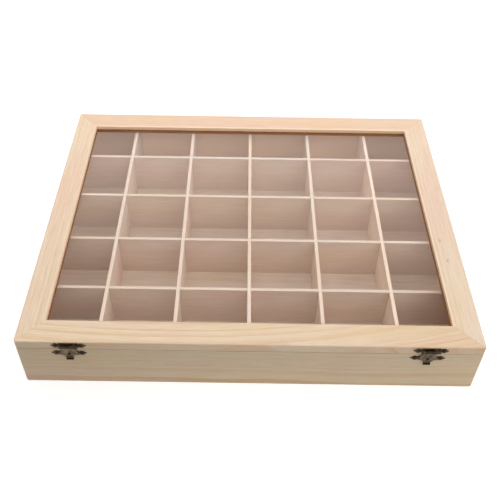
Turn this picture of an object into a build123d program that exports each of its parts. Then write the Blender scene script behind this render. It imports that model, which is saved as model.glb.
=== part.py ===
from build123d import *
import math
import os

# A shallow pine box for rock specimens, with a glazed lid on two hinges and two latches in front.
# Inside, thin boards cross each other in half laps and make a grid of open cells.
# All sizes are in millimetres. The origin is the middle of the underside, X runs to the right,
# Y to the back where the hinges are, and Z up.

# The grid of cells
columns = 6
rows = 5
cell = 54.5
divider_thickness = 2.8
grid_shift_x = -0.9
grid_shift_y = 0.8

# The carcass
total_height = 49.4
side_wall_thickness = 5.0
long_wall_thickness = 5.6
rebate = 2.5
floor_thickness = 1.5
corner_radius = 2.2
edge_ease = 0.5

# The lid frame and its glass
lid_height = 8.0
lid_gap = 0.4
left_rail_width = 20.0
right_rail_width = 21.3
front_rail_width = 21.0
back_rail_width = 22.1
lid_top_ease = 1.0
lid_inner_ease = 0.4
glass_thickness = 2.0
glass_recess = 3.3
groove_depth = 5.0

# Folded steel strips that hold each mitre together from below
v_nail_thickness = 0.5
v_nail_leg = 4.5
v_nail_height = 5.0
v_nail_spread = 120.0
v_nail_distance = 8.0

# Latches
latch_left_x = -135.1
latch_right_x = 134.5
catch_shift_left = -0.5
catch_shift_right = -1.1
latch_width = 26.4
latch_sheet = 0.6
latch_ear_spacing = 19.2
latch_ear_radius = 2.3
latch_ear_neck = 2.6
latch_body_half = 7.2
latch_top_z = 45.9
latch_top_height = 5.0
latch_barrel_half = 7.0
latch_barrel_radius = 1.25
latch_pin_radius = 0.45
latch_knuckle_half = 3.7
catch_plate_z = 37.2
catch_plate_height = 4.4
catch_z = 36.9
catch_radius = 1.0
catch_reach = 2.6
tongue_thickness = 0.7
tongue_hole_radius = 1.4
tongue_neck_z = 44.0
tongue_wide_half = 7.0
tongue_wide_z = 38.4
tongue_tab_half = 2.8
tongue_tab_z = 33.4
tongue_bend_z = 32.5
tongue_lip_reach = 1.15

# Hinges
hinge_spacing = 220.0
hinge_width = 16.0
hinge_sheet = 0.8
hinge_leaf_height = 4.9
hinge_leaf_radius = 1.0
hinge_barrel_radius = 1.4
hinge_pin_radius = 0.7
hinge_pin_head_radius = 1.1
hinge_pin_head_length = 0.4
hinge_middle_knuckle = 5.6
hinge_nail_spacing = 9.6

# Round-headed nails that hold the latches and hinges
nail_head_radius = 1.4
nail_head_height = 0.65
nail_shank_radius = 0.45
nail_length = 3.6

# Clearances
running_clearance = 0.05
seat_clearance = 0.02
hinge_stand_off = 0.1
knuckle_gap = 0.2
lap_clearance = 0.1
groove_play = 0.05
glass_side_play = 0.5

# Sizes that follow from those above
pitch = cell + divider_thickness
inner_x = columns * pitch - divider_thickness
inner_y = rows * pitch - divider_thickness
box_x = inner_x + 2 * side_wall_thickness
box_y = inner_y + 2 * long_wall_thickness
front = -box_y / 2
back = box_y / 2
lid_bottom = total_height - lid_height
wall_top = lid_bottom - lid_gap
divider_height = wall_top - lap_clearance - floor_thickness
opening_x = box_x - left_rail_width - right_rail_width
opening_y = box_y - back_rail_width - front_rail_width
opening_middle = ((left_rail_width - right_rail_width) / 2, (front_rail_width - back_rail_width) / 2)
glass_bottom = total_height - glass_recess - glass_thickness
tongue_back = latch_sheet + running_clearance
latch_axis_reach = tongue_back + latch_barrel_radius
latch_axis_y = front - latch_axis_reach
hinge_axis_y = back + hinge_stand_off + hinge_barrel_radius
hinge_axis_z = wall_top + lid_gap / 2
hinge_leaf_start = hinge_barrel_radius + knuckle_gap

# Places of the dividers, latches, hinges and nails
column_xs = [(i - (columns - 2) / 2) * pitch + grid_shift_x for i in range(columns - 1)]
row_ys = [(i - (rows - 2) / 2) * pitch + grid_shift_y for i in range(rows - 1)]
corner_signs = [(-1, -1), (1, -1), (1, 1), (-1, 1)]
latches = {"left": latch_left_x, "right": latch_right_x}
catches = {"left": latch_left_x + catch_shift_left, "right": latch_right_x + catch_shift_right}
hinges = {"left": -hinge_spacing / 2, "right": hinge_spacing / 2}
hinge_nail_rise = hinge_leaf_start + hinge_leaf_height / 2
latch_nails = [(s * latch_ear_spacing / 2, latch_top_z) for s in (-1, 1)]
catch_nails = [(s * latch_ear_spacing / 2, catch_plate_z) for s in (-1, 1)]
upper_nails = [(s * hinge_nail_spacing / 2, hinge_axis_z + hinge_nail_rise) for s in (-1, 1)]
lower_nails = [(s * hinge_nail_spacing / 2, hinge_axis_z - hinge_nail_rise) for s in (-1, 1)]

os.makedirs("parts", exist_ok=True)


def save(piece, name):
    """Labels a finished piece and writes it under its own name."""
    piece.part.label = name
    export_step(piece.part, f"parts/{name}.step")


def front_plane(x):
    """A drawing plane on the front face: along X, up Z, and facing out of the box."""
    return Plane(origin=(x, front, 0), x_dir=(1, 0, 0), z_dir=(0, -1, 0))


def back_plane(x):
    """A drawing plane on the back face: along -X, up Z, and facing out of the box."""
    return Plane(origin=(x, back, 0), x_dir=(-1, 0, 0), z_dir=(0, 1, 0))


def round_bar(x_low, x_high, y, z, radius, mode=Mode.ADD):
    """Adds a round bar along X to the piece being made, or cuts one out of it."""
    with BuildSketch(Plane.YZ.offset(x_low)) as section:
        with Locations((y, z)):
            Circle(radius)
    extrude(section.sketch, amount=x_high - x_low, mode=mode)


def cut_nail_holes(plane, places):
    """Cuts holes for nails, through a sheet that lies on the plane and into the wood behind it."""
    with BuildSketch(plane.offset(-nail_length)) as holes:
        with Locations(*places):
            Circle(nail_shank_radius + seat_clearance)
    extrude(holes.sketch, amount=2 * nail_length, mode=Mode.SUBTRACT)


def save_nails(plane, places, sheet, name):
    """Saves nails that are driven through a sheet lying on the plane, as one group."""
    with BuildPart() as nails:
        with BuildSketch(plane.offset(sheet - nail_length)):
            with Locations(*places):
                Circle(nail_shank_radius)
        extrude(amount=nail_length)
        with BuildSketch(plane.offset(sheet)):
            with Locations(*places):
                Circle(nail_head_radius)
        extrude(amount=nail_head_height)
        head_top = sheet + nail_head_height
        rims = nails.edges().filter_by(lambda e: abs(plane.to_local_coords(e.center()).Z - head_top) < 0.01)
        fillet(rims, radius=nail_head_height * 0.8)
    save(nails, name)


# Front and back walls run the full width, with rebates for the side walls and the floor
def save_long_wall(name, side, fittings):
    with BuildPart() as wall:
        with BuildSketch():
            with Locations((0, side * (box_y - long_wall_thickness) / 2)):
                Rectangle(box_x, long_wall_thickness)
        extrude(amount=wall_top)
        outside = wall.faces().sort_by(Axis.Y)[-1 if side > 0 else 0]
        fillet(outside.edges().filter_by(Axis.Z), radius=corner_radius)
        inner_face_y = side * inner_y / 2
        for face in (wall.faces().sort_by(Axis.Z)[0], wall.faces().sort_by(Axis.Z)[-1]):
            outer_edges = face.edges().filter_by(lambda e: abs(e.center().Y - inner_face_y) > 0.01)
            fillet(outer_edges, radius=edge_ease)
        rebate_y = side * (inner_y + rebate) / 2
        with BuildSketch():
            with Locations(*[(s * (box_x - side_wall_thickness) / 2, rebate_y) for s in (-1, 1)]):
                Rectangle(side_wall_thickness, rebate)
        extrude(amount=wall_top, mode=Mode.SUBTRACT)
        with BuildSketch():
            with Locations((0, rebate_y)):
                Rectangle(inner_x, rebate)
        extrude(amount=floor_thickness, mode=Mode.SUBTRACT)
        for plane, places in fittings:
            cut_nail_holes(plane, places)
    save(wall, name)


save_long_wall("front_wall", -1, [(front_plane(x), catch_nails) for x in catches.values()])
save_long_wall("back_wall", 1, [(back_plane(x), lower_nails) for x in hinges.values()])


# Side walls stand in the end rebates and have a rebate of their own for the floor
def save_side_wall(name, side):
    length = inner_y + 2 * rebate
    with BuildPart() as wall:
        with BuildSketch():
            with Locations((side * (box_x - side_wall_thickness) / 2, 0)):
                Rectangle(side_wall_thickness, length)
        extrude(amount=wall_top)
        outside = wall.faces().sort_by(Axis.X)[-1 if side > 0 else 0]
        fillet(outside.edges().filter_by(Axis.Y), radius=edge_ease)
        with BuildSketch():
            with Locations((side * (inner_x + rebate) / 2, 0)):
                Rectangle(rebate, length)
        extrude(amount=floor_thickness, mode=Mode.SUBTRACT)
    save(wall, name)


save_side_wall("left_wall", -1)
save_side_wall("right_wall", 1)

# The floor is let into the rebates, flush with the walls below
with BuildPart() as floor_board:
    with BuildSketch():
        Rectangle(inner_x + 2 * rebate, inner_y + 2 * rebate)
    extrude(amount=floor_thickness)
save(floor_board, "floor_board")

# Long dividers run from front to back, with their slots below, so that their tops are unbroken
slot_width = divider_thickness + 2 * lap_clearance
slot_height = divider_height / 2 + lap_clearance
for number, x in enumerate(column_xs, start=1):
    with BuildPart() as long_divider:
        with BuildSketch(Plane.XY.offset(floor_thickness)):
            with Locations((x, 0)):
                Rectangle(divider_thickness, inner_y - 2 * lap_clearance)
        extrude(amount=divider_height)
        with BuildSketch(Plane.XY.offset(floor_thickness)):
            with Locations(*[(x, y) for y in row_ys]):
                Rectangle(divider_thickness, slot_width)
        extrude(amount=slot_height, mode=Mode.SUBTRACT)
    save(long_divider, f"long_divider_{number}")

# Cross dividers run from left to right, with their slots above
for number, y in enumerate(row_ys, start=1):
    with BuildPart() as cross_divider:
        with BuildSketch(Plane.XY.offset(floor_thickness)):
            with Locations((0, y)):
                Rectangle(inner_x - 2 * lap_clearance, divider_thickness)
        extrude(amount=divider_height)
        with BuildSketch(Plane.XY.offset(floor_thickness + divider_height)):
            with Locations(*[(x, y) for x in column_xs]):
                Rectangle(slot_width, divider_thickness)
        extrude(amount=-slot_height, mode=Mode.SUBTRACT)
    save(cross_divider, f"cross_divider_{number}")

# The lid frame as one ring, before it is cut at the mitres
with BuildPart() as lid_ring:
    with BuildSketch(Plane.XY.offset(lid_bottom)):
        RectangleRounded(box_x, box_y, corner_radius)
        with Locations(opening_middle):
            Rectangle(opening_x, opening_y, mode=Mode.SUBTRACT)
    extrude(amount=lid_height)
    fillet(lid_ring.faces().sort_by(Axis.Z)[-1].outer_wire().edges(), radius=lid_top_ease)
    fillet(lid_ring.faces().sort_by(Axis.Z)[0].outer_wire().edges(), radius=edge_ease)
    with BuildSketch(Plane.XY.offset(glass_bottom - groove_play)):
        with Locations(opening_middle):
            Rectangle(opening_x + 2 * groove_depth, opening_y + 2 * groove_depth)
    extrude(amount=glass_thickness + 2 * groove_play, mode=Mode.SUBTRACT)


def v_nail_sketch(play):
    """The folded strips at all four corners, seen from above and made larger by the play."""
    with BuildSketch(Plane.XY.offset(lid_bottom)) as strips:
        for sx, sy in corner_signs:
            rise = front_rail_width if sy < 0 else back_rail_width
            run = left_rail_width if sx < 0 else right_rail_width
            mitre_slope = rise / run
            inward = math.degrees(math.atan2(-sy * mitre_slope, -sx))
            fold = (sx * (box_x / 2 - v_nail_distance), sy * (box_y / 2 - v_nail_distance * mitre_slope))
            for turn in (-v_nail_spread / 2, v_nail_spread / 2):
                with Locations(Location(fold, inward + turn)):
                    with Locations(((v_nail_leg - v_nail_thickness) / 2, 0)):
                        Rectangle(v_nail_leg + 2 * play, v_nail_thickness + 2 * play)
    return strips.sketch


with BuildPart() as mitre_v_nails:
    extrude(v_nail_sketch(0), amount=v_nail_height)
save(mitre_v_nails, "mitre_v_nails")


def opening_corner(signs):
    """The corner of the opening on this side in X and Y."""
    sizes = (opening_x, opening_y)
    return tuple(sign * size / 2 + shift for sign, size, shift in zip(signs, sizes, opening_middle))


# Each rail is the part of the ring between two mitres
def save_rail(name, first, second, fittings):
    """Saves the rail that runs from one corner to the next, with the holes for what is nailed to it."""
    with BuildPart() as rail:
        add(lid_ring.part)
        with BuildSketch(Plane.XY.offset(lid_bottom)):
            with BuildLine():
                Polyline(
                    (first[0] * box_x / 2, first[1] * box_y / 2),
                    (second[0] * box_x / 2, second[1] * box_y / 2),
                    opening_corner(second),
                    opening_corner(first),
                    close=True,
                )
            make_face()
        extrude(amount=lid_height, mode=Mode.INTERSECT)
        opening_edge = rail.faces().sort_by(Axis.Z)[-1].edges().sort_by_distance((0, 0, total_height))[0]
        fillet(opening_edge, radius=lid_inner_ease)
        extrude(v_nail_sketch(seat_clearance), amount=v_nail_height + seat_clearance, mode=Mode.SUBTRACT)
        for plane, places in fittings:
            cut_nail_holes(plane, places)
    save(rail, name)


front_left, front_right, back_right, back_left = corner_signs
latch_fittings = [(front_plane(x), latch_nails) for x in latches.values()]
hinge_fittings = [(back_plane(x), upper_nails) for x in hinges.values()]
save_rail("lid_front_rail", front_left, front_right, latch_fittings)
save_rail("lid_right_rail", front_right, back_right, [])
save_rail("lid_back_rail", back_right, back_left, hinge_fittings)
save_rail("lid_left_rail", back_left, front_left, [])

# The glass is held all round in the groove
with BuildPart() as glass_pane:
    with BuildSketch(Plane.XY.offset(glass_bottom)):
        glass_margin = 2 * (groove_depth - glass_side_play)
        with Locations(opening_middle):
            Rectangle(opening_x + glass_margin, opening_y + glass_margin)
    extrude(amount=glass_thickness)
save(glass_pane, "glass_pane")


# A latch has a plate on the lid with a hinged tongue, and a plate with a catch on the front wall
def draw_eared_plate(z, height):
    """Draws a plate with a round, pointed ear on each side into the sketch being made."""
    with Locations((0, z)):
        Rectangle(2 * latch_body_half, height)
        Rectangle(latch_ear_spacing, latch_ear_neck)
    for side in (-1, 1):
        ear = side * latch_ear_spacing / 2
        with Locations((ear, z)):
            Circle(latch_ear_radius)
        shoulder = latch_ear_radius * 0.85
        Polygon((ear, z + shoulder), (side * latch_width / 2, z), (ear, z - shoulder), align=None)


for name, x in latches.items():
    plane = front_plane(x)
    catch_x = catches[name]
    catch_plane = front_plane(catch_x)
    knuckle = (catch_x - latch_knuckle_half, catch_x + latch_knuckle_half)
    barrel = (x - latch_barrel_half, x + latch_barrel_half)

    with BuildPart() as latch_plate:
        with BuildSketch(plane):
            draw_eared_plate(latch_top_z, latch_top_height)
        extrude(amount=latch_sheet)
        round_bar(*barrel, latch_axis_y, latch_top_z, latch_barrel_radius)
        with BuildSketch(plane):
            with Locations((0, latch_top_z + latch_barrel_radius / 2)):
                Rectangle(2 * latch_barrel_half, latch_barrel_radius)
        extrude(amount=latch_axis_reach)
        with BuildSketch(catch_plane.offset(latch_sheet)):
            with Locations((0, latch_top_z)):
                Rectangle(2 * (latch_knuckle_half + knuckle_gap), latch_top_height)
        extrude(amount=2 * latch_axis_reach, mode=Mode.SUBTRACT)
        round_bar(*barrel, latch_axis_y, latch_top_z, latch_pin_radius + seat_clearance, Mode.SUBTRACT)
        cut_nail_holes(plane, latch_nails)
    save(latch_plate, f"latch_plate_{name}")

    with BuildPart() as latch_pin:
        round_bar(*barrel, latch_axis_y, latch_top_z, latch_pin_radius)
    save(latch_pin, f"latch_pin_{name}")

    with BuildPart() as latch_tongue:
        round_bar(*knuckle, latch_axis_y, latch_top_z, latch_barrel_radius)
        with BuildSketch(catch_plane.offset(tongue_back)):
            with BuildLine():
                head = Line((0, latch_top_z), (latch_knuckle_half, latch_top_z))
                neck = Line(head @ 1, (latch_knuckle_half, tongue_neck_z))
                flare = Line(neck @ 1, (tongue_wide_half, tongue_wide_z))
                taper = Line(flare @ 1, (tongue_tab_half, tongue_tab_z))
                tab = Line(taper @ 1, (tongue_tab_half, tongue_bend_z))
                Line(tab @ 1, (0, tongue_bend_z))
                mirror(about=Plane.YZ)
            make_face()
            wide_corners = vertices().filter_by(lambda v: abs(v.Y - tongue_wide_z) < 0.01)
            fillet(wide_corners, radius=1.2)
        extrude(amount=tongue_thickness)
        outer_y = front - tongue_back - tongue_thickness
        bevel = tongue_thickness * math.tan(math.pi / 8)
        turn = tongue_thickness * math.sqrt(0.5)
        with BuildSketch(Plane.YZ.offset(catch_x - tongue_tab_half)):
            with BuildLine():
                Polyline(
                    (outer_y, tongue_bend_z),
                    (outer_y - tongue_lip_reach, tongue_bend_z - tongue_lip_reach),
                    (outer_y - tongue_lip_reach + turn, tongue_bend_z - tongue_lip_reach - turn),
                    (outer_y + tongue_thickness, tongue_bend_z - bevel),
                    (outer_y + tongue_thickness, tongue_bend_z),
                    close=True,
                )
            make_face()
        extrude(amount=2 * tongue_tab_half)
        round_bar(*knuckle, latch_axis_y, latch_top_z, latch_pin_radius + running_clearance, Mode.SUBTRACT)
        with BuildSketch(catch_plane):
            with Locations((0, catch_z)):
                Circle(tongue_hole_radius)
        extrude(amount=2 * catch_reach, mode=Mode.SUBTRACT)
    save(latch_tongue, f"latch_tongue_{name}")

    with BuildPart() as catch_plate:
        with BuildSketch(catch_plane):
            draw_eared_plate(catch_plate_z, catch_plate_height)
        extrude(amount=latch_sheet)
        with BuildSketch(catch_plane):
            with Locations((0, catch_z)):
                Circle(catch_radius)
        extrude(amount=catch_reach)
        fillet(catch_plate.edges().sort_by(Axis.Y)[0], radius=catch_radius / 2)
        cut_nail_holes(catch_plane, catch_nails)
    save(catch_plate, f"catch_plate_{name}")

    save_nails(plane, latch_nails, latch_sheet, f"latch_nails_{name}")
    save_nails(catch_plane, catch_nails, latch_sheet, f"catch_nails_{name}")


# A hinge has two leaves on the outside of the back, and a pin through their knuckles
def save_hinge_leaf(name, x, side, knuckles, nails):
    """Saves the leaf above (1) or below (-1) the pin. Each knuckle is a pair of X values."""
    plane = back_plane(x)
    with BuildPart() as leaf:
        with BuildSketch(plane):
            with Locations((0, hinge_axis_z + side * (hinge_leaf_start + hinge_leaf_height / 2))):
                RectangleRounded(hinge_width, hinge_leaf_height, hinge_leaf_radius)
        extrude(amount=hinge_sheet)
        strip_height = hinge_leaf_start + hinge_leaf_radius
        for low, high in knuckles:
            round_bar(low, high, hinge_axis_y, hinge_axis_z, hinge_barrel_radius)
            with BuildSketch(plane.offset(hinge_stand_off)):
                with Locations((x - (low + high) / 2, hinge_axis_z + side * strip_height / 2)):
                    Rectangle(high - low, strip_height)
            extrude(amount=hinge_sheet)
            bore_radius = hinge_pin_radius + running_clearance
            round_bar(low, high, hinge_axis_y, hinge_axis_z, bore_radius, Mode.SUBTRACT)
        cut_nail_holes(plane, nails)
    save(leaf, name)


for name, x in hinges.items():
    low, high = x - hinge_width / 2, x + hinge_width / 2
    middle_low, middle_high = x - hinge_middle_knuckle / 2, x + hinge_middle_knuckle / 2
    outer_knuckles = [(low, middle_low - knuckle_gap), (middle_high + knuckle_gap, high)]
    save_hinge_leaf(f"hinge_lower_leaf_{name}", x, -1, outer_knuckles, lower_nails)
    save_hinge_leaf(f"hinge_upper_leaf_{name}", x, 1, [(middle_low, middle_high)], upper_nails)
    with BuildPart() as hinge_pin:
        round_bar(low, high, hinge_axis_y, hinge_axis_z, hinge_pin_radius)
        round_bar(low - hinge_pin_head_length, low, hinge_axis_y, hinge_axis_z, hinge_pin_head_radius)
        round_bar(high, high + hinge_pin_head_length, hinge_axis_y, hinge_axis_z, hinge_pin_head_radius)
    save(hinge_pin, f"hinge_pin_{name}")
    save_nails(back_plane(x), upper_nails, hinge_sheet, f"hinge_upper_nails_{name}")
    save_nails(back_plane(x), lower_nails, hinge_sheet, f"hinge_lower_nails_{name}")

print("box", round(box_x, 2), "by", round(box_y, 2), "by", total_height)
print("cells", columns * rows, "about", cell, "square and", round(divider_height, 2), "deep")
print("wall top", round(wall_top, 2), "glass underside", round(glass_bottom, 2))
print("hinge axis y", round(hinge_axis_y, 3), "z", round(hinge_axis_z, 3))
print("latch axis y", round(latch_axis_y, 3), "z", round(latch_top_z, 3))
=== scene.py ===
# %% [markdown]
# # A rock specimen box in Blender
#
# The box is a shallow tray of pale, unfinished pine with thirty open cells, under a hinged lid that
# frames a clear pane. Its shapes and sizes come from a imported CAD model, which is loaded here as a
# fixed frame. Blender gives it its wood, glass and metal, its light and its camera.

# %% Load the frame
import math

import bpy
from mathutils import Matrix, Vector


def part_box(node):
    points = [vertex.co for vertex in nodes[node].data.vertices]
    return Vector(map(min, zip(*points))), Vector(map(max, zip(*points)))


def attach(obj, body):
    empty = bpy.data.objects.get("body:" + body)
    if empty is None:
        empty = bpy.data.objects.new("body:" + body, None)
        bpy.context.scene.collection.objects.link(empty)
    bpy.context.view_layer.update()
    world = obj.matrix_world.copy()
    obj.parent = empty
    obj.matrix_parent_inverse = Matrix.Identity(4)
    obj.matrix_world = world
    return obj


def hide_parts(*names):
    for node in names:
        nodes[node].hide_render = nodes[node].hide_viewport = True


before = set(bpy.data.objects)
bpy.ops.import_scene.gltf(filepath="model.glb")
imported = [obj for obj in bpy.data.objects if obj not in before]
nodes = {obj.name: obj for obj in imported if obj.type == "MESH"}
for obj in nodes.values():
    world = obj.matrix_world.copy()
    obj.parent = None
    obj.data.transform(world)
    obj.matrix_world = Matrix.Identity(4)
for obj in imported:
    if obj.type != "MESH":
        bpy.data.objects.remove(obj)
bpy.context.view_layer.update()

# %% [markdown]
# ## Reading sizes from the frame
#
# Every place in this lesson is worked out from the corners of the CAD pieces, so that the finish stays
# on the wood when a size changes. Blender works in metres, and small things are easier to say in
# millimetres, so there is a factor for that.

# %% Sizes
mm = 0.001
front_low, front_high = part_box("front_wall")
glass_low, glass_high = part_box("glass_pane")
box_width = front_high[0] - front_low[0]
front_y = front_low[1]
back_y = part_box("back_wall")[1][1]
lid_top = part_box("lid_front_rail")[1][2]
print("width", round(box_width, 4), "depth", round(back_y - front_y, 4), "lid top", round(lid_top, 4))

# %% [markdown]
# ## The camera
#
# The box is seen from in front and well above, almost half way to straight down, with a normal lens
# from about two thirds of a metre. The place and the turn of the camera were found by matching the
# corners of the lid, the base and the rows of cells. The picture was cropped, so its middle isn't quite
# where the lens points, and a small shift of the frame makes up for that.

# %% Camera
camera_place = (-0.00628, -0.46942, 0.46765)
camera_turn = (44.052, -0.667, 0.543)
bpy.ops.object.camera_add(location=camera_place, rotation=[math.radians(a) for a in camera_turn])
camera = bpy.context.object
camera.name = "camera"
camera.data.sensor_width = 36
camera.data.lens = 51.10
camera.data.shift_x = 0.0116
camera.data.shift_y = 0.0289
camera.data.clip_start = 0.01
bpy.context.scene.camera = camera
print("camera lens", camera.data.lens)

# %% [markdown]
# ## Light
#
# The box is photographed on white in soft light. The shade in its cells tells where the light comes
# from. The upper left of each cross board is lit and a soft slanting shade starts at its upper right,
# so the main light stands to the right. The left sides of the long boards are still bright, so about
# two thirds as much comes from the left. The top is much brighter than the front, so a good part comes
# from behind. Seven square lamps as wide as an umbrella stand round the box, all in the upper half, and
# a weak even surround fills in what they leave dark.
#
# What the clear pane mirrors matters as much. It shows the studio behind the box: white low down and
# grey higher up, which lays a thin veil over the far cells and almost none over the near ones. So the
# surround has one strength as a light, and a band of white and grey by height for rays that leave a
# shiny surface. A pane mirrors with both of its faces. A ray that comes back from the lower face has
# gone through the glass, so it counts as a transmission ray, and it has to meet the same band. Lamps
# beside, behind and low before the box would stand in that mirror picture as bright squares, so neither
# kind of ray sees them.

# %% Lamps
scene = bpy.context.scene
scene.view_settings.view_transform = "Standard"
lamp_distance = 1.7
lamp_size = 1.1


def area_lamp(name, side, rise, power):
    """A square lamp that faces the middle of the box, by its angles round from the front and up."""
    turn = math.radians(side)
    tilt = math.radians(rise)
    flat = lamp_distance * math.cos(tilt)
    place = (flat * math.sin(turn), -flat * math.cos(turn), lamp_distance * math.sin(tilt))
    bpy.ops.object.light_add(type="AREA", location=place)
    lamp = bpy.context.object
    lamp.name = name
    lamp.data.shape = "SQUARE"
    lamp.data.size = lamp_size
    lamp.data.energy = power
    lamp.rotation_euler = (math.pi / 2 - tilt, 0, turn)
    return lamp


area_lamp("front_right_lamp", 60, 40, 11.4)
area_lamp("front_left_lamp", 300, 40, 6.0)
area_lamp("high_lamp", 0, 70, 6.3)
unseen_lamps = [
    area_lamp("right_lamp", 120, 40, 6.6),
    area_lamp("left_lamp", 240, 60, 6.1),
    area_lamp("back_lamp", 180, 40, 16.0),
    area_lamp("front_lamp", 0, 35, 2.5),
]
for lamp in unseen_lamps:
    lamp.visible_glossy = False
    lamp.visible_transmission = False
for lamp in bpy.data.lights:
    print(lamp.name, lamp.energy, "W")

# %% Surround
world = bpy.data.worlds.new("studio")
scene.world = world
world.use_nodes = True
sky = world.node_tree.nodes
wire = world.node_tree.links.new
sky.clear()
sky_out = sky.new("ShaderNodeOutputWorld")
fill = sky.new("ShaderNodeBackground")
fill_strength = 0.03
fill.inputs["Strength"].default_value = fill_strength
white = sky.new("ShaderNodeBackground")
white.inputs["Color"].default_value = (1.0, 1.0, 1.0, 1.0)
heading = sky.new("ShaderNodeTexCoord")
height = sky.new("ShaderNodeSeparateXYZ")
band = sky.new("ShaderNodeValToRGB")
band_stops = [(0.62, 1.0), (0.67, 0.7), (0.72, 0.33), (0.775, 0.5)]
while len(band.color_ramp.elements) < len(band_stops):
    band.color_ramp.elements.new(1.0)
for element, (place, value) in zip(band.color_ramp.elements, band_stops):
    element.position = place
    element.color = (value, value, value, 1.0)
mirrored = sky.new("ShaderNodeBackground")
rays = sky.new("ShaderNodeLightPath")
shiny = sky.new("ShaderNodeMixShader")
bounced = sky.new("ShaderNodeMath")
bounced.operation = "MAXIMUM"
choose = sky.new("ShaderNodeMixShader")
wire(heading.outputs["Generated"], height.inputs[0])
wire(height.outputs["Z"], band.inputs["Fac"])
wire(band.outputs["Color"], mirrored.inputs["Color"])
wire(rays.outputs["Is Glossy Ray"], bounced.inputs[0])
wire(rays.outputs["Is Transmission Ray"], bounced.inputs[1])
wire(bounced.outputs[0], shiny.inputs["Fac"])
wire(fill.outputs[0], shiny.inputs[1])
wire(mirrored.outputs[0], shiny.inputs[2])
wire(rays.outputs["Is Camera Ray"], choose.inputs["Fac"])
wire(shiny.outputs[0], choose.inputs[1])
wire(white.outputs[0], choose.inputs[2])
wire(choose.outputs[0], sky_out.inputs["Surface"])
print("surround", fill_strength, "as a light, with", len(band_stops), "steps as a mirror picture")

# %% [markdown]
# ## Floor
#
# The floor is a plain white sheet that runs well past the view. It has to keep the box's soft shade.

# %% Floor
floor_size = 3.6
bpy.ops.mesh.primitive_plane_add(size=floor_size, location=(0, 0, 0))
floor = bpy.context.object
floor.name = "studio_floor"
print(floor.name, floor_size, "m wide")

# %% [markdown]
# ## Helpers for materials
#
# Every finish here is a small network of nodes. Three helpers keep the networks short. One writes a
# colour as it would be picked on a screen, and one writes a linear grey. The third starts a material
# and adds nodes to it with their settings and their inputs, where an input is either a value or the
# socket of another node.


# %% Colours
def shade(red, green, blue):
    """A screen colour of 0 to 255 as the linear colour that Blender's sockets hold."""
    scaled = [c / 255 for c in (red, green, blue)]
    return tuple(c / 12.92 if c <= 0.04045 else ((c + 0.055) / 1.055) ** 2.4 for c in scaled) + (1.0,)


def grey(value):
    """A linear grey as a colour."""
    return (value, value, value, 1.0)


# %% A material and its nodes
class Finish:
    """A new material with its surface shader and a short way to add nodes."""

    def __init__(self, name):
        self.material = bpy.data.materials.new(name)
        self.material.use_nodes = True
        self.tree = self.material.node_tree
        self.tree.nodes.clear()
        self.out = self.tree.nodes.new("ShaderNodeOutputMaterial")
        self.surface = self.tree.nodes.new("ShaderNodeBsdfPrincipled")
        self.tree.links.new(self.surface.outputs["BSDF"], self.out.inputs["Surface"])

    def add(self, kind, inputs=None, **settings):
        """A node of this kind with its inputs, by name or number, and its settings."""
        node = self.tree.nodes.new("ShaderNode" + kind)
        for key, value in settings.items():
            setattr(node, key, value)
        for key, value in (inputs or {}).items():
            self.feed(node.inputs[key], value)
        return node

    def feed(self, socket, value):
        """Links a socket to another node's output, or writes a plain value on it."""
        if isinstance(value, bpy.types.NodeSocket):
            self.tree.links.new(value, socket)
        else:
            socket.default_value = value

    def math(self, operation, first, second=0.0, third=0.0):
        """The result of one operation on up to three values."""
        node = self.add("Math", {0: first, 1: second, 2: third}, operation=operation)
        return node.outputs[0]

    def vector(self, operation, first, second):
        """The result of one operation on two vectors."""
        node = self.add("VectorMath", {0: first, 1: second}, operation=operation)
        return node.outputs["Vector"]

    def noise(self, place, scale, detail, roughness):
        """Smooth random values at this many waves per metre."""
        inputs = {"Vector": place, "Scale": scale, "Detail": detail, "Roughness": roughness}
        return self.add("TexNoise", inputs).outputs

    def parts(self, place):
        """The X, Y and Z of a place as three sockets."""
        return self.add("SeparateXYZ", {0: place}).outputs

    def ramp(self, factor, stops):
        """Colours along a value from 0 to 1. Each stop is a place and a colour."""
        node = self.add("ValToRGB", {"Fac": factor})
        band = node.color_ramp
        while len(band.elements) < len(stops):
            band.elements.new(1.0)
        for element, (place, colour) in zip(band.elements, stops):
            element.position = place
            element.color = colour
        return node.outputs["Color"]

    def mix(self, factor, first, second, kind="MIX"):
        """The first colour with this much of the second one mixed in, or multiplied by it."""
        node = self.add("Mix", data_type="RGBA", blend_type=kind)
        self.feed(node.inputs[0], factor)
        self.feed(node.inputs[6], first)
        self.feed(node.inputs[7], second)
        return node.outputs[2]

    def use_on(self, name):
        """Puts the material on a CAD piece or a new piece by its name."""
        piece = nodes.get(name) or bpy.data.objects[name]
        piece.data.materials.clear()
        piece.data.materials.append(self.material)


# %% [markdown]
# ## The floor's finish
#
# The floor is a matt white sheet. To the camera it is white paper that only keeps the soft shade next
# to the box, so a little plain white is added for what the camera, the glass and the metal see of it,
# and more of it farther away, where the lamps no longer reach.

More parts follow.
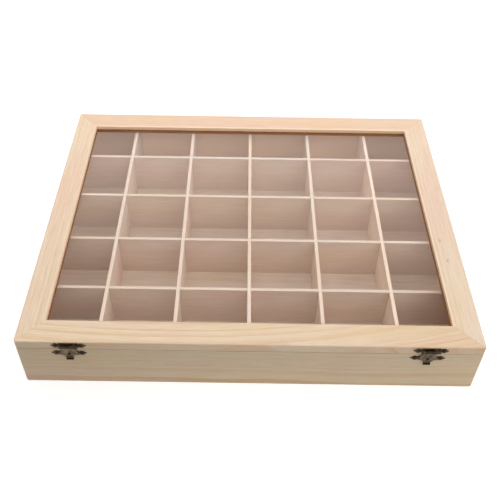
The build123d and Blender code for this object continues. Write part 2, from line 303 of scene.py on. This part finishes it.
# %% Floor finish
paper_grey = 0.82
glow_near, glow_far = 0.35, 1.0
near_reach, far_reach = 0.3, 1.2
paper = Finish("floor_paper")
paper.surface.inputs["Base Color"].default_value = grey(paper_grey)
paper.surface.inputs["Roughness"].default_value = 0.9
paper.surface.inputs["Specular IOR Level"].default_value = 0.0
rays = paper.add("LightPath")
looked_at = paper.math("MAXIMUM", rays.outputs["Is Camera Ray"], rays.outputs["Is Glossy Ray"])
looked_at = paper.math("MAXIMUM", looked_at, rays.outputs["Is Transmission Ray"])
spot = paper.add("TexCoord").outputs["Object"]
away = paper.add("VectorMath", {0: spot}, operation="LENGTH").outputs["Value"]
reach = {"From Min": near_reach, "From Max": far_reach, "To Min": glow_near, "To Max": glow_far}
extra = paper.add("MapRange", {"Value": away, **reach})
strength = paper.math("MULTIPLY", looked_at, extra.outputs[0])
glow = paper.add("Emission", {"Color": (1.0, 1.0, 1.0, 1.0), "Strength": strength})
both = paper.add("AddShader", {0: paper.surface.outputs[0], 1: glow.outputs[0]})
paper.feed(paper.out.inputs["Surface"], both.outputs[0])
floor.data.materials.append(paper.material)

# %% [markdown]
# ## Pine
#
# A sawn board shows its tree. The rings are tubes round the pith, so a board's face cuts them into
# lines that run with the grain and now and then into long arches, and its ends show curved rings. A
# flat picture of wood grain could be laid on each face, but its lines would stop at the edges. This
# finish is a solid one instead: it measures how far each point is from a pith line that lies outside
# the board, and colours the rings by that distance, so faces, edges and ends belong to one board.
#
# A tree is never straight. A slow waver bends the lines, a bow lets them sweep across the board as they
# do on the front rail, and a small knot pushes them aside.

# %% Rings of a board
ring_change = 0.35
ring_drift = 3.0
knot_stretch = 0.45
knot_push = 0.8
core_sharpness = 6.0


def measure_rings(wood, spot, ring, knots):
    """Counts the rings from the pith at each point, with their spacing uneven and knots in the way."""
    parts = wood.parts(spot)
    across = wood.math("MULTIPLY", parts[1], parts[1])
    reach = wood.math("SQRT", wood.math("MULTIPLY_ADD", parts[2], parts[2], across))
    core = None
    for knot_place, knot_size in knots:
        offset = wood.vector("SUBTRACT", spot, [c * mm for c in knot_place])
        stretch = (knot_stretch / (knot_size * mm), 1 / (knot_size * mm), 0.0)
        scaled = wood.vector("MULTIPLY", offset, stretch)
        span = wood.add("VectorMath", {0: scaled}, operation="LENGTH").outputs["Value"]
        fall = wood.math("EXPONENT", wood.math("MULTIPLY", wood.math("MULTIPLY", span, span), -0.5))
        reach = wood.math("MULTIPLY_ADD", fall, knot_size * mm * knot_push, reach)
        tight = wood.math("POWER", fall, core_sharpness)
        core = tight if core is None else wood.math("MAXIMUM", core, tight)
    count = wood.math("DIVIDE", reach, ring * mm)
    inputs = {"W": count, "Scale": ring_change, "Detail": 2.0}
    uneven = wood.add("TexNoise", inputs, noise_dimensions="1D").outputs[0]
    return wood.math("MULTIPLY_ADD", uneven, ring_drift, count), core


# %% [markdown]
# The colour of pine is built from wide to fine. Broad rosy and greenish patches come first, then each
# ring from pale early wood to a narrow honey line of late wood, then streaks of differing strength
# along the board, fine fibres, and at last the short dark flecks of resin ducts. The fibres also give
# the roughness and a slight relief, and late wood is a little smoother than early wood.
#
# Each of these is a noise that is stretched along the grain. Its stretch is given as waves per metre
# along the grain and across it.

# %% Colours and waves of pine
black = grey(0.0)
full = grey(1.0)
knot_brown = shade(150, 112, 82)
knot_strength = 0.55
duct_strength = 0.3
ring_raggedness = 0.3
seed_step = 1.37
base_roughness = 0.56
fibre_roughness = 0.14
late_smoothness = -0.1
late_relief = 0.6
relief_height = 0.1 * mm
stretches = {
    "waver": (4.5, 8.0, 8.0),
    "ring edge": (25.0, 420.0, 420.0),
    "streak": (2.2, 60.0, 60.0),
    "patch": (6.0, 40.0, 40.0),
    "fibre": (45.0, 1500.0, 1500.0),
    "duct": (90.0, 1700.0, 1700.0),
}


# %% Pine finish
def pine(name, along, pith, seed, early, late,
         ring=3.4, waver=5.0, bow=0.0, bow_at=0.0, depth=0.5, knots=()):
    """Wood with its grain along "x" or "y". The pith is given in mm across the grain and up."""
    wood = Finish(name)
    place = wood.add("TexCoord").outputs["Object"]
    turn = 0.0 if along == "x" else -math.pi / 2
    turned = wood.add("Mapping", {"Vector": place, "Rotation": (0.0, 0.0, turn)}).outputs[0]
    run = wood.math("SUBTRACT", wood.parts(turned)[0], bow_at * mm)
    sweep = wood.math("MULTIPLY", wood.math("MULTIPLY", run, run), -bow)
    swept = wood.vector("ADD", turned, wood.add("CombineXYZ", {"Y": sweep}).outputs[0])
    shifted = wood.vector("ADD", swept, (seed * seed_step, -pith[0] * mm, -pith[1] * mm))

    def along_grain(kind, detail, roughness):
        stretched = wood.vector("MULTIPLY", shifted, stretches[kind])
        return wood.noise(stretched, 1.0, detail, roughness)

    slow = along_grain("waver", 2.0, 0.45)["Color"]
    centred = wood.vector("SUBTRACT", slow, (0.5, 0.5, 0.5))
    bend = wood.vector("MULTIPLY", centred, (0.0, 2 * waver * mm, 2 * waver * mm))
    bent = wood.vector("ADD", shifted, bend)
    moved_knots = [((run_mm + seed * seed_step / mm, across_mm - pith[0], 0.0), size)
                   for run_mm, across_mm, size in knots]
    rings, core = measure_rings(wood, bent, ring, moved_knots)
    edge = along_grain("ring edge", 3.0, 0.6)["Fac"]
    within = wood.math("FRACT", wood.math("MULTIPLY_ADD", edge, ring_raggedness, rings))
    late_share = wood.ramp(within, [
        (0.0, grey(0.05)),
        (0.4, grey(0.1)),
        (0.78, grey(0.75)),
        (0.9, full),
        (1.0, grey(0.05)),
    ])
    streak = along_grain("streak", 3.0, 0.55)["Fac"]
    strength = wood.ramp(streak, [(0.35, grey(0.12)), (0.68, full)])
    share = wood.math("MULTIPLY", wood.math("MULTIPLY", late_share, strength), depth)
    body = wood.mix(share, early, late)
    patch = along_grain("patch", 2.0, 0.5)["Fac"]
    tint = wood.ramp(patch, [
        (0.3, shade(255, 249, 236)),
        (0.5, shade(255, 253, 250)),
        (0.7, shade(255, 243, 242)),
    ])
    body = wood.mix(1.0, body, tint, "MULTIPLY")
    fibre = along_grain("fibre", 3.0, 0.65)["Fac"]
    lines = wood.ramp(fibre, [(0.25, shade(238, 234, 229)), (0.6, full)])
    body = wood.mix(1.0, body, lines, "MULTIPLY")
    duct = wood.ramp(along_grain("duct", 0.0, 0.5)["Fac"], [(0.7, black), (0.78, full)])
    body = wood.mix(wood.math("MULTIPLY", duct, duct_strength), body, late)
    if core is not None:
        body = wood.mix(wood.math("MULTIPLY", core, knot_strength), body, knot_brown)
    wood.feed(wood.surface.inputs["Base Color"], body)
    dry = wood.math("MULTIPLY_ADD", fibre, fibre_roughness, base_roughness)
    roughness = wood.math("MULTIPLY_ADD", share, late_smoothness, dry)
    wood.feed(wood.surface.inputs["Roughness"], roughness)
    wood.surface.inputs["Specular IOR Level"].default_value = 0.3
    relief = wood.math("MULTIPLY_ADD", share, late_relief, fibre)
    bump = wood.add("Bump", {"Strength": 0.3, "Distance": relief_height, "Height": relief})
    wood.feed(wood.surface.inputs["Normal"], bump.outputs[0])
    wood.body_colour = body
    wood.place = place
    return wood


# %% [markdown]
# ### The lid's rails
#
# The four rails are cut from different boards, so each gets its own pith, tone and lines. Some marks
# are shared. The mitres show as hairlines from the outer to the inner corner. Below the pane the inner
# faces of the rails are painted brown, as painted shade for the shade in the groove under the pane.
# Seen through the pane, this draws a thin dark line round the whole opening. Above the pane the inner
# face is painted paler than the face of the rail, as painted light that the pane throws back onto it,
# and on all but the front rail the edge beside it carries a pale painted highlight.

# %% The opening of the lid
rail_inner = {
    "left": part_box("lid_left_rail")[1][0],
    "right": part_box("lid_right_rail")[0][0],
    "front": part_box("lid_front_rail")[1][1],
    "back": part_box("lid_back_rail")[0][1],
}
print("opening", {side: round(value / mm, 2) for side, value in rail_inner.items()})
# painted shade: dark brown on the rails' inner faces below the pane, for the shade in the groove
painted_groove_shade = shade(152, 96, 48)
# painted light: a paler lip above the pane, for the light that the pane throws back onto it
painted_lip_light = shade(251, 216, 179)
# painted highlight along the rails' inner top edge
painted_edge_highlight = shade(250, 234, 214)
joint_brown = shade(170, 128, 92)
hairline_strength = 0.3
hairline_width = 0.14 * mm
groove_reach = 5.2 * mm
on_face = 0.08 * mm
arris_from, arris_to = 1.0 * mm, 3.0 * mm


# %% Marks of the lid frame
def mark_rail(wood, edge_highlight):
    """Adds the mitre hairlines, and painted light on the edge and lip and painted shade below them."""
    parts = wood.parts(wood.place)
    gap = None
    sides_x = ((-box_width / 2, rail_inner["left"]), (box_width / 2, rail_inner["right"]))
    sides_y = ((front_y, rail_inner["front"]), (back_y, rail_inner["back"]))
    for outer_x, inner_x in sides_x:
        for outer_y, inner_y in sides_y:
            run = inner_x - outer_x
            rise = inner_y - outer_y
            sign_x = math.copysign(1, run)
            sign_y = math.copysign(1, rise)
            inward = wood.math("MULTIPLY_ADD", parts[0], sign_x, -outer_x * sign_x)
            up = wood.math("MULTIPLY_ADD", parts[1], sign_y, -outer_y * sign_y)
            length = math.hypot(run, rise)
            off = wood.math("MULTIPLY", inward, abs(rise) / length)
            off = wood.math("ABSOLUTE", wood.math("MULTIPLY_ADD", up, -abs(run) / length, off))
            away = wood.math("GREATER_THAN", inward, abs(run))
            off = wood.math("ADD", off, away)
            gap = off if gap is None else wood.math("MINIMUM", gap, off)
    hairline = wood.math("LESS_THAN", gap, hairline_width)
    share = wood.math("MULTIPLY", hairline, hairline_strength)
    body = wood.mix(share, wood.body_colour, joint_brown)
    below = wood.math("LESS_THAN", parts[2], glass_high[2] - 0.1 * mm)
    above_groove_floor = wood.math("GREATER_THAN", parts[2], glass_low[2] - 0.2 * mm)
    in_groove = wood.math("MULTIPLY", below, above_groove_floor)
    beyond = wood.math("MAXIMUM", wood.math("SUBTRACT", rail_inner["left"], parts[0]),
                       wood.math("SUBTRACT", parts[0], rail_inner["right"]))
    beyond = wood.math("MAXIMUM", beyond, wood.math("SUBTRACT", rail_inner["front"], parts[1]))
    beyond = wood.math("MAXIMUM", beyond, wood.math("SUBTRACT", parts[1], rail_inner["back"]))
    # painted highlight on the inner edge, fading out away from the opening
    reach = {"From Min": arris_from, "From Max": arris_to, "To Min": edge_highlight, "To Max": 0.0}
    arris = wood.add("MapRange", {"Value": beyond, **reach}).outputs[0]
    body = wood.mix(arris, body, painted_edge_highlight)
    touch = wood.math("MULTIPLY_ADD", in_groove, groove_reach, on_face)
    cut = wood.math("LESS_THAN", beyond, touch)
    lip = wood.math("MULTIPLY", cut, wood.math("SUBTRACT", 1.0, below))
    # painted light on the lip above the pane
    body = wood.mix(lip, body, painted_lip_light)
    # painted shade below the pane
    body = wood.mix(wood.math("MULTIPLY", cut, below), body, painted_groove_shade)
    wood.feed(wood.surface.inputs["Base Color"], body)
    return wood


# %% [markdown]
# A board's tone also changes from one end to the other, and the same tint is used for painted shade.
# The left and the right rail are painted darker toward the front, as painted shade where less light from
# behind reaches, and the front rail turns browner toward its right end. Its front edge is painted
# darkest at the left, as painted shade away from the main light, so that tint has a mask that keeps it
# to the face that looks forward.


# %% Tone along a board
def tone_along(wood, axis, ends, tints, mask=1.0):
    """Tints a board from one end to the other with greys or colours, for its tone or painted shade."""
    spot = wood.parts(wood.place)[axis]
    share = wood.add("MapRange", {"Value": spot, "From Min": ends[0], "From Max": ends[1]}).outputs[0]
    colours = [tint if isinstance(tint, tuple) else grey(tint) for tint in tints]
    stops = [(number / (len(colours) - 1), colour) for number, colour in enumerate(colours)]
    wood.body_colour = wood.mix(mask, wood.body_colour, wood.ramp(share, stops), "MULTIPLY")
    wood.feed(wood.surface.inputs["Base Color"], wood.body_colour)
    return wood


# %% Rails
front_rail = pine("pine_front_rail", "x", (-60, 26), 1.0, shade(218, 199, 176), shade(198, 157, 111),
                  ring=6.5, waver=4.0, bow=0.55, bow_at=-70, depth=0.7)
back_rail = pine("pine_back_rail", "x", (84, 10), 2.0, shade(225, 198, 176), shade(205, 155, 110),
                 ring=3.6, waver=2.5, depth=0.45)
left_rail = pine("pine_left_rail", "y", (96, 18), 3.0, shade(230, 211, 188), shade(208, 165, 118),
                 ring=2.6, waver=2.0, depth=0.6)
right_rail = pine("pine_right_rail", "y", (-112, 12), 4.0, shade(226, 208, 188), shade(205, 163, 118),
                  ring=3.4, waver=3.5, depth=0.5, knots=[(-33, -161, 1.5), (-57, -163, 1.3)])
across = (front_low[0], front_high[0])
to_back = (front_y, back_y)
browner = (0.95, 0.90, 0.82, 1.0)
rail_y = front_rail.parts(front_rail.place)[1]
on_front = front_rail.math("LESS_THAN", rail_y, front_y + 0.1 * mm)
tone_along(front_rail, 0, across, (1.0, 1.0, 0.99, browner))
# painted shade: the front face darker toward the left, away from the main light
tone_along(front_rail, 0, across, (0.72, 0.89, 0.92, 0.98), on_front)
# painted shade: the side rails darker toward the front, where less light from behind reaches
tone_along(left_rail, 1, to_back, (0.88, 0.93, 0.99))
tone_along(right_rail, 1, to_back, (0.91, 0.945, 1.0))
mark_rail(front_rail, 0.0).use_on("lid_front_rail")
mark_rail(back_rail, 0.45).use_on("lid_back_rail")
mark_rail(left_rail, 0.12).use_on("lid_left_rail")
mark_rail(right_rail, 0.2).use_on("lid_right_rail")
print("rails", [rail.material.name for rail in (front_rail, back_rail, left_rail, right_rail)])

# %% [markdown]
# ### The walls
#
# The walls are thin boards on edge, sawn flat, so their faces show a few wide calm lines. The front
# wall is painted darkest at its left end, as painted shade away from the main light, and paler toward
# its foot and darker along its top, as painted light and shade. Inside the tray the walls are painted
# paler and rosier, as painted light for the light that bounces round the cells.

# %% Inside of the tray
tray_low, tray_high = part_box("left_wall")[1][0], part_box("right_wall")[0][0]
tray_front, tray_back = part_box("front_wall")[1][1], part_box("back_wall")[0][1]
wall_pale = shade(230, 211, 184)
wall_honey = shade(209, 166, 116)
# painted light: the inner faces of the tray painted paler and rosier for the light bouncing round the
# cells
rosy = shade(255, 225, 199)
rosy_share = 0.75
inner_width = round((tray_high - tray_low) / mm, 1)
inner_depth = round((tray_back - tray_front) / mm, 1)
print("tray inside", inner_width, "by", inner_depth)


def paint_inner_light(wood):
    """Tints the faces that look into the tray paler and rosier, as painted light."""
    parts = wood.parts(wood.place)
    touch = 0.1 * mm
    limits = (
        (0, "LESS_THAN", tray_high + touch),
        (1, "LESS_THAN", tray_back + touch),
        (1, "GREATER_THAN", tray_front - touch),
    )
    inside = wood.math("GREATER_THAN", parts[0], tray_low - touch)
    for axis, test, limit in limits:
        inside = wood.math("MULTIPLY", inside, wood.math(test, parts[axis], limit))
    inner = wood.mix(1 - rosy_share, rosy, wood.body_colour)
    wood.feed(wood.surface.inputs["Base Color"], wood.mix(inside, wood.body_colour, inner))
    return wood


# %% Walls
front_wall = pine("pine_front_wall", "x", (-90, -24), 5.0, wall_pale, wall_honey,
                  ring=4.5, waver=4.0, depth=0.55)
# painted shade toward the left end, and painted light and shade from the foot to the top
tone_along(front_wall, 0, (-box_width / 2, box_width / 2), (0.66, 0.775, 0.825))
tone_along(front_wall, 2, (front_low[2], front_high[2]), (1.13, 1.07, 0.99, 0.93))
back_wall = pine("pine_back_wall", "x", (95, -25), 6.0, wall_pale, wall_honey, ring=4.0)
left_wall = pine("pine_left_wall", "y", (120, -18), 7.0, wall_pale, wall_honey, ring=4.0)
right_wall = pine("pine_right_wall", "y", (-120, -30), 8.0, wall_pale, wall_honey, ring=4.0)
paint_inner_light(front_wall).use_on("front_wall")
paint_inner_light(back_wall).use_on("back_wall")
paint_inner_light(left_wall).use_on("left_wall")
paint_inner_light(right_wall).use_on("right_wall")
print("walls", [wall.material.name for wall in (front_wall, back_wall, left_wall, right_wall)])

# %% [markdown]
# ## Dividers and floor board
#
# The dividers are thin boards of a paler, plainer wood, and their sawn tops are almost white. Deep in a
# cell they are painted a little darker than near the top, as painted shade. The long board farthest to
# the right is painted palest, as painted light. The two cross boards nearest the front are painted
# darker toward their ends, as painted shade under the side rails, and the right end of the first one is
# painted warm brown, as a painted warm reflection and shade seen through the pane. The floor board is
# the same wood with its grain from left to right.

# %% Divider wood
divider_heights = (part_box("floor_board")[1][2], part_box("long_divider_1")[1][2])
board_pale = shade(239, 220, 206)
board_dark = shade(217, 192, 169)


def in_order(kind, axis):
    """The names of the dividers of one kind in the order in which they stand."""
    names = [name for name in nodes if name.startswith(kind)]
    return sorted(names, key=lambda name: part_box(name)[0][axis])


def divider(name, along, pith_across, seed, tints):
    """A thin pale board with its pith far off, with painted shade and light from the tray's floor to the
    top.
    """
    pith = (pith_across, -70)
    board = pine(f"board_{name}", along, pith, seed, board_pale, board_dark, ring=4.0, depth=0.18)
    return tone_along(board, 2, divider_heights, tints)


# %% Dividers
long_boards = in_order("long_divider", 0)
cross_boards = in_order("cross_divider", 1)
# painted shade: the boards darker toward the floor of the tray
long_shade_tints = (0.93, 0.965, 1.01, 1.04)
# painted light: the long board farthest right is painted paler
painted_light_tints = (1.06, 1.10, 1.14, 1.14)
cross_shade_tints = (0.88, 0.915, 0.965, 1.0)
# painted shade at the ends of the front cross boards, and a painted warm reflection at the first one's
# right end
first_left_shade = (0.84, 0.80, 0.75, 1.0)
first_right_reflection_shade = (0.62, 0.47, 0.34, 1.0)
second_left_shade = (0.88, 0.86, 0.84, 1.0)
end_shade_tints = {
    cross_boards[0]: (first_left_shade, 0.91, 0.98, 1.0, 1.0, 1.0, 0.98, 0.91, first_right_reflection_shade),
    cross_boards[1]: (second_left_shade, 1.0, 1.0, 1.0, 0.96),
}
for name in long_boards:
    tints = painted_light_tints if name == long_boards[-1] else long_shade_tints
    divider(name, "y", 160, 10.0 + int(name[-1]), tints).use_on(name)
for name in cross_boards:
    board = divider(name, "x", -160, 20.0 + int(name[-1]), cross_shade_tints)
    if name in end_shade_tints:
        tone_along(board, 0, (tray_low, tray_high), end_shade_tints[name])
    board.use_on(name)
pine("board_floor", "x", (20, -160), 30.0, shade(236, 221, 209), shade(214, 191, 172),
     ring=4.5, depth=0.35).use_on("floor_board")
print("dividers", len(long_boards), "long and", len(cross_boards), "cross")

# %% [markdown]
# ## Glass
#
# The pane is clear, with a faint sheen. Lamps have to light the cells through it, and real glass
# throws them so little aside that it may let those rays straight through.

# %% Glass finish
pane = Finish("clear_pane")
pane.surface.inputs["Base Color"].default_value = (0.985, 0.99, 0.985, 1.0)
pane.surface.inputs["Roughness"].default_value = 0.02
pane.surface.inputs["IOR"].default_value = 1.49
pane.surface.inputs["Transmission Weight"].default_value = 1.0
let_through = 0.93
straight = pane.add("BsdfTransparent", {"Color": grey(let_through)})
rays = pane.add("LightPath")
lit = pane.math("MAXIMUM", rays.outputs["Is Shadow Ray"], rays.outputs["Is Diffuse Ray"])
both = pane.add("MixShader", {0: lit, 1: pane.surface.outputs[0], 2: straight.outputs[0]})
pane.feed(pane.out.inputs["Surface"], both.outputs[0])
pane.use_on("glass_pane")

# %% [markdown]
# ## Metal
#
# The latches and hinges are thin stamped brass with an antique finish. The bath that darkens it leaves
# the round nail heads and the hollows almost black, and the plates brown. A tongue that is lifted every
# day is rubbed back to a dull grey brown round its hole. Its head and its tab are painted dark, as
# painted shade below the barrel and under the curl of the tab.

# %% Antique finish
grain_scale = 1400.0
cloud_scale = 320.0
cloud_share = 0.55
grain_share = 0.45
tone_roughness = 0.3
grit_height = 0.04 * mm


def antique(name, dark, middle, light, metallic=0.8, smooth=0.32):
    """Darkened brass that is mottled at the size of a grain of sand and in wider clouds."""
    brass = Finish(name)
    brass.place = brass.add("TexCoord").outputs["Object"]
    grain = brass.noise(brass.place, grain_scale, 3.0, 0.6)["Fac"]
    cloud = brass.noise(brass.place, cloud_scale, 2.0, 0.5)["Fac"]
    tone = brass.math("MULTIPLY_ADD", cloud, cloud_share, brass.math("MULTIPLY", grain, grain_share))
    brass.body_colour = brass.ramp(tone, [(0.38, dark), (0.5, middle), (0.62, light)])
    brass.feed(brass.surface.inputs["Base Color"], brass.body_colour)
    brass.surface.inputs["Metallic"].default_value = metallic
    roughness = brass.math("MULTIPLY_ADD", tone, tone_roughness, smooth)
    brass.feed(brass.surface.inputs["Roughness"], roughness)
    grit = brass.add("Bump", {"Strength": 0.35, "Distance": grit_height, "Height": grain})
    brass.feed(brass.surface.inputs["Normal"], grit.outputs[0])
    return brass


# %% Plates, nails and rubbed edges
plate_bronze = antique("plate_bronze", shade(36, 26, 15), shade(62, 48, 32), shade(90, 73, 52))
nail_bronze = antique("nail_bronze", shade(30, 20, 9), shade(46, 32, 17), shade(72, 54, 34), 0.95, 0.36)
rubbed_bronze = antique("rubbed_bronze", shade(70, 55, 38), shade(98, 80, 57), shade(128, 107, 80))

# %% Tongue finish
tongue_low, tongue_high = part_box("latch_tongue_left")
# the tab and the head of the tongue are painted dark as painted shade
tab_height = 3.2 * mm
head_height = 3.6 * mm
tab_fade = 1.0 * mm
head_fade = 1.6 * mm
raggedness = 1.0 * mm
head_shade_strength = 0.8
tab_top = tongue_low[2] + tab_height
head_start = tongue_high[2] - head_height
tongue_bronze = antique("tongue_bronze", shade(68, 56, 43), shade(97, 83, 66), shade(130, 114, 93),
                        0.85, 0.38)
level = tongue_bronze.parts(tongue_bronze.place)[2]
ragged = tongue_bronze.noise(tongue_bronze.place, 700.0, 2.0, 0.5)["Fac"]
level = tongue_bronze.math("MULTIPLY_ADD", ragged, raggedness, level)
toward_tab = {"Value": level, "From Min": tab_top + tab_fade, "From Max": tab_top}
toward_head = {"Value": level, "From Min": head_start, "From Max": head_start + head_fade}
on_tab = tongue_bronze.add("MapRange", toward_tab).outputs[0]
on_head = tongue_bronze.add("MapRange", toward_head).outputs[0]
on_head = tongue_bronze.math("MULTIPLY", on_head, head_shade_strength)
# painted shade on the tab and the head of the tongue
painted_tongue_shade = tongue_bronze.math("MAXIMUM", on_tab, on_head)
tongue_colour = tongue_bronze.mix(painted_tongue_shade, tongue_bronze.body_colour, shade(26, 15, 6))
tongue_bronze.feed(tongue_bronze.surface.inputs["Base Color"], tongue_colour)
print("tab below", round(tab_top / mm, 2), "head above", round(head_start / mm, 2))

# %% [markdown]
# ### Stamped sheets
#
# The CAD sheets have sharp edges, and a stamped sheet has not. Each sheet is therefore copied, its
# loose triangles are merged into whole faces, and a bevel rounds its edges. The stamp also leaves a
# plain rim round a middle that stands a hair higher on a plate and lower on a tongue, so the faces that
# look away from the wood are inset, and what is inside the rim is moved. The rounded edges take the
# rubbed finish, because that is where the dark coat wears off first. The leaves and pins of the hinges
# are rounded the same way, without a rim.

# %% Pick the outer faces
flat_enough = 0.99
level_step = 0.01 * mm
same_level = 0.02 * mm


def outer_level(piece, outward):
    """The Y of the widest flat side that looks away from the wood."""
    areas = {}
    for face in piece.data.polygons:
        if face.normal[1] * outward > flat_enough:
            step = round(face.center[1] / level_step)
            areas[step] = areas.get(step, 0.0) + face.area
    return max(areas, key=areas.get) * level_step


def pick_outer(piece, outward, level):
    """Selects the flat faces that look away from the wood at this distance, in edit mode."""
    bpy.ops.mesh.select_mode(type="FACE")
    bpy.ops.mesh.select_all(action="DESELECT")
    bpy.ops.object.mode_set(mode="OBJECT")
    for face in piece.data.polygons:
        looks_away = face.normal[1] * outward > flat_enough
        face.select = looks_away and abs(face.center[1] - level) < same_level
    bpy.ops.object.mode_set(mode="EDIT")


# %% How far a piece stands out of its node
def excess(piece, name):
    """The largest distance in mm by which a piece reaches beyond the box of its CAD node."""
    low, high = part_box(name)
    worst = 0.0
    for vertex in piece.data.vertices:
        for axis in range(3):
            worst = max(worst, low[axis] - vertex.co[axis], vertex.co[axis] - high[axis])
    return round(worst / mm, 3)


# %% Dress a sheet
merge_distance = 0.002 * mm
edge_radius = 0.12 * mm
rim_width = 0.5 * mm
plate_lift = 0.08 * mm
tongue_lift = -0.12 * mm


def dress_sheet(name, body, finish, outward, lift=0.0):
    """A stamped sheet made from a merged copy of the CAD piece, with a rim and rounded edges."""
    level = outer_level(nodes[name], outward)
    bpy.ops.object.select_all(action="DESELECT")
    piece = bpy.data.objects.new(f"stamped_{name}", nodes[name].data.copy())
    scene.collection.objects.link(piece)
    bpy.context.view_layer.objects.active = piece
    piece.select_set(True)
    bpy.ops.object.mode_set(mode="EDIT")
    bpy.ops.mesh.select_all(action="SELECT")
    bpy.ops.mesh.remove_doubles(threshold=merge_distance)
    bpy.ops.mesh.normals_make_consistent(inside=False)
    pick_outer(piece, outward, level)
    bpy.ops.mesh.select_all(action="INVERT")
    bpy.ops.mesh.dissolve_limited(angle_limit=math.radians(1))
    if lift:
        pick_outer(piece, outward, level)
        bpy.ops.mesh.inset(thickness=rim_width, depth=0.0, use_even_offset=False)
        bpy.ops.mesh.inset(thickness=abs(lift), depth=lift, use_even_offset=False)
    bpy.ops.object.mode_set(mode="OBJECT")
    piece.data.materials.clear()
    piece.data.materials.append(finish.material)
    piece.data.materials.append(rubbed_bronze.material)
    edge = piece.modifiers.new("edge", "BEVEL")
    edge.width = edge_radius
    edge.segments = 2
    edge.limit_method = "ANGLE"
    edge.angle_limit = math.radians(50)
    edge.material = 1
    bpy.ops.object.modifier_apply(modifier="edge")
    bpy.ops.object.shade_smooth_by_angle(angle=math.radians(35))
    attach(piece, body)
    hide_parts(name)
    print(piece.name, "faces", len(piece.data.polygons), "excess", excess(piece, name))


# %% Sheets of the latches and hinges
for side in ("left", "right"):
    dress_sheet(f"latch_plate_{side}", "lid", plate_bronze, -1, plate_lift)
    dress_sheet(f"catch_plate_{side}", "box", plate_bronze, -1, plate_lift)
    dress_sheet(f"latch_tongue_{side}", f"tongue_{side}", tongue_bronze, -1, tongue_lift)
    dress_sheet(f"hinge_upper_leaf_{side}", "lid", plate_bronze, 1)
    dress_sheet(f"hinge_lower_leaf_{side}", "box", plate_bronze, 1)
    dress_sheet(f"hinge_pin_{side}", "box", plate_bronze, 1)
    plate_bronze.use_on(f"latch_pin_{side}")

# %% [markdown]
# ### Nails
#
# The nails have domed heads. All of them are alike, so one is modelled at the origin, with its head to
# the front: a ball is cut in half, flattened to the height of the head, closed behind and drawn out into
# the shank, which goes through the sheet into the wood. Each nail is then a copy with its own mesh. The
# nails of the latches are driven from the front, and those of the hinges are turned to the back.

# %% One nail
dome_radius = 1.4 * mm
dome_height = 0.65 * mm
shank_radius = 0.45 * mm
group_low, group_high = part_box("latch_nails_left")
shank_length = group_high[1] - group_low[1] - dome_height
origin = (0, 0, 0)
bpy.ops.object.select_all(action="DESELECT")
bpy.ops.mesh.primitive_uv_sphere_add(segments=20, ring_count=10, radius=dome_radius)
first_nail = bpy.context.object
bpy.ops.object.mode_set(mode="EDIT")
bpy.ops.mesh.select_all(action="SELECT")
bpy.ops.transform.rotate(value=math.pi / 2, orient_axis="X", center_override=origin)
bpy.ops.mesh.bisect(plane_co=origin, plane_no=(0, -1, 0), use_fill=True, clear_inner=True)
bpy.ops.mesh.select_all(action="SELECT")
bpy.ops.transform.resize(value=(1, dome_height / dome_radius, 1), center_override=origin)
bpy.ops.transform.translate(value=(0, dome_height, 0))
pick_outer(first_nail, 1, dome_height)
bpy.ops.mesh.inset(thickness=dome_radius - shank_radius, depth=0.0)
bpy.ops.mesh.extrude_region_move(TRANSFORM_OT_translate={"value": (0, shank_length, 0)})
bpy.ops.mesh.select_all(action="SELECT")
bpy.ops.mesh.normals_make_consistent(inside=False)
bpy.ops.object.mode_set(mode="OBJECT")
bpy.ops.object.shade_smooth_by_angle(angle=math.radians(50))
nail_mesh = first_nail.data
bpy.data.objects.remove(first_nail)
print("nail faces", len(nail_mesh.polygons))


# %% Drive a nail
def drive_nail(name, body, group, x, z, outward):
    """A copy of the nail whose head is where the CAD nail has it, with its shank in the wood."""
    low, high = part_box(group)
    top = low[1] if outward < 0 else high[1]
    turn = Matrix.Rotation(math.pi if outward > 0 else 0.0, 4, "Z")
    nail = bpy.data.objects.new(name, nail_mesh.copy())
    nail.data.transform(Matrix.Translation((x, top, z)) @ turn)
    scene.collection.objects.link(nail)
    nail_bronze.use_on(name)
    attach(nail, body)
    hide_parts(group)
    return nail


# %% Nails of the latches and hinges
nail_groups = {
    "latch_nails": ("lid", -1),
    "catch_nails": ("box", -1),
    "hinge_upper_nails": ("lid", 1),
    "hinge_lower_nails": ("box", 1),
}
for kind, (body, outward) in nail_groups.items():
    for side in ("left", "right"):
        group = f"{kind}_{side}"
        low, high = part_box(group)
        middle = (low[2] + high[2]) / 2
        for number, x in enumerate((low[0] + dome_radius, high[0] - dome_radius), 1):
            nail = drive_nail(f"domed_{group}_{number}", body, group, x, middle, outward)
            print(nail.name, "stands out", excess(nail, group), "mm")

# %% [markdown]
# ### Mitre nails
#
# The mitres of the lid are held by folded strips of plain steel, driven in from below until they are
# inside the wood. Nothing of them shows while the lid is shut, so the CAD strips stay, in a bright grey
# metal with a fine mottle.

# %% Mitre nails
steel = Finish("plain_steel")
place = steel.add("TexCoord").outputs["Object"]
scratch_scale = 1500.0
scratch = steel.noise(place, scratch_scale, 2.0, 0.5)["Fac"]
steel.feed(steel.surface.inputs["Base Color"], steel.ramp(scratch, [
    (0.3, shade(120, 120, 122)),
    (0.7, shade(165, 165, 168)),
]))
steel.surface.inputs["Metallic"].default_value = 1.0
steel.feed(steel.surface.inputs["Roughness"], steel.math("MULTIPLY_ADD", scratch, 0.2, 0.3))
steel.use_on("mitre_v_nails")
